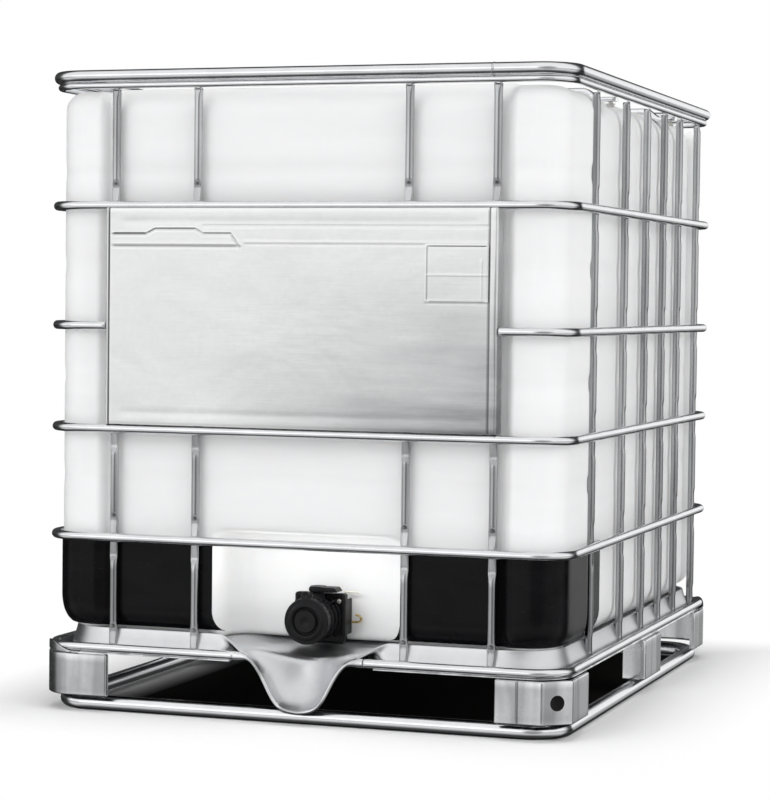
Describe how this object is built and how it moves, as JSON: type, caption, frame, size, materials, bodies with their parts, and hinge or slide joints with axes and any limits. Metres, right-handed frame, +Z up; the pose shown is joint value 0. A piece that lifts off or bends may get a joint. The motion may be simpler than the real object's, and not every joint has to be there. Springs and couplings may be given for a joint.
{
  "type": "intermediate bulk container",
  "caption": "Caged plastic liquid container on a steel pallet with a bottom outlet valve, screw fill lid and blank label plate.",
  "frame": {"origin": "on the floor, under the middle of the container's footprint", "axes": "+Z up; the outlet valve and label plate face -Y; +X is to the right as seen from the valve side; the long side runs along Y"},
  "size_m": [1, 1.2, 1.16],
  "materials": {
    "galvanised_tube": "bright galvanised steel tube",
    "galvanised_sheet": "galvanised formed sheet steel, soft sheen",
    "label_sheet": "rolled galvanised sheet with a fine brushed grain",
    "natural_plastic": "blown polyethylene, milky white, satin",
    "black_guard": "glossy black moulded plastic",
    "black_valve": "satin black moulded plastic",
    "black_rubber": "matt black rubber",
    "white_plastic": "natural moulded plastic",
    "brass_clip": "bright brass wire",
    "lid_plastic": "satin black moulded plastic",
    "zinc_bolt": "zinc plated steel"
  },
  "bodies": {
    "root": {"top_rail": "galvanised_tube", "under_rail": "galvanised_tube", "hoop_2": "galvanised_tube", "hoop_3": "galvanised_tube", "hoop_4": "galvanised_tube", "hoop_5": "galvanised_tube", "hoop_6": "galvanised_tube", "front_post_1": "galvanised_tube", "front_post_2": "galvanised_tube", "front_post_3": "galvanised_tube", "front_post_4": "galvanised_tube", "rear_post_1": "galvanised_tube", "rear_post_2": "galvanised_tube", "rear_post_3": "galvanised_tube", "rear_post_4": "galvanised_tube", "left_post_1": "galvanised_tube", "left_post_2": "galvanised_tube", "left_post_3": "galvanised_tube", "left_post_4": "galvanised_tube", "left_post_5": "galvanised_tube", "left_post_6": "galvanised_tube", "right_post_1": "galvanised_tube", "right_post_2": "galvanised_tube", "right_post_3": "galvanised_tube", "right_post_4": "galvanised_tube", "right_post_5": "galvanised_tube", "right_post_6": "galvanised_tube", "front_cross_bar": "galvanised_tube", "rear_cross_bar": "galvanised_tube", "floor_runner": "galvanised_tube", "front_left_foot": "galvanised_sheet", "front_right_foot": "galvanised_sheet", "rear_left_foot": "galvanised_sheet", "rear_right_foot": "galvanised_sheet", "left_middle_foot": "galvanised_sheet", "right_middle_foot": "galvanised_sheet", "rear_middle_foot": "galvanised_sheet", "tray": "galvanised_sheet", "label_plate": "label_sheet", "bottle": "natural_plastic", "left_corner_guard": "black_guard", "right_corner_guard": "black_guard", "valve_body": "black_valve", "outlet_nut": "black_valve", "outlet_seal": "black_rubber", "valve_seat": "black_rubber", "seal_clip": "brass_clip", "front_bar_bolt_left": "zinc_bolt", "front_bar_bolt_right": "zinc_bolt", "rear_bar_bolt_left": "zinc_bolt", "rear_bar_bolt_right": "zinc_bolt"},
    "lever": {"valve_lever": "black_valve", "valve_stem": "white_plastic", "valve_disc": "white_plastic"},
    "cap_seal": {"cap_gasket": "black_rubber"},
    "cap": {"outlet_cap": "black_valve"},
    "lid_seal": {"lid_gasket": "black_rubber"},
    "lid": {"fill_lid": "lid_plastic"},
    "vent_seal": {"vent_gasket": "black_rubber"},
    "vent": {"vent_plug": "lid_plastic"}
  },
  "joints": [
    {"name": "lever_turn", "type": "hinge", "parent": "root", "child": "lever", "pos_m": [0.009, -0.495, 0.181], "axis": [0, 0, -1], "range_deg": [0, 90]},
    {"name": "outlet_cap_slide", "type": "slide", "parent": "root", "child": "cap_seal", "axis": [0, -1, 0], "range_m": [0, 0.018]},
    {"name": "outlet_cap_turn", "type": "hinge", "parent": "cap_seal", "child": "cap", "pos_m": [0.009, -0.55, 0.181], "axis": [0, -1, 0], "range_deg": [0, 1081]},
    {"name": "lid_lift", "type": "slide", "parent": "root", "child": "lid_seal", "axis": [0, 0, 1], "range_m": [0, 0.028]},
    {"name": "lid_turn", "type": "hinge", "parent": "lid_seal", "child": "lid", "pos_m": [0, 0, 1.14], "axis": [0, 0, 1], "range_deg": [0, 1441]},
    {"name": "vent_lift", "type": "slide", "parent": "lid", "child": "vent_seal", "axis": [0, 0, 1], "range_m": [0, 0.012]},
    {"name": "vent_turn", "type": "hinge", "parent": "vent_seal", "child": "vent", "pos_m": [0.034, 0, 1.15], "axis": [0, 0, 1], "range_deg": [0, 1441]}
  ],
  "couplings": [
    {"joint": "outlet_cap_turn", "follows": "outlet_cap_slide", "rad_per_m": 1047.2},
    {"joint": "lid_turn", "follows": "lid_lift", "rad_per_m": 897.6},
    {"joint": "vent_turn", "follows": "vent_lift", "rad_per_m": 2094.4}
  ]
}
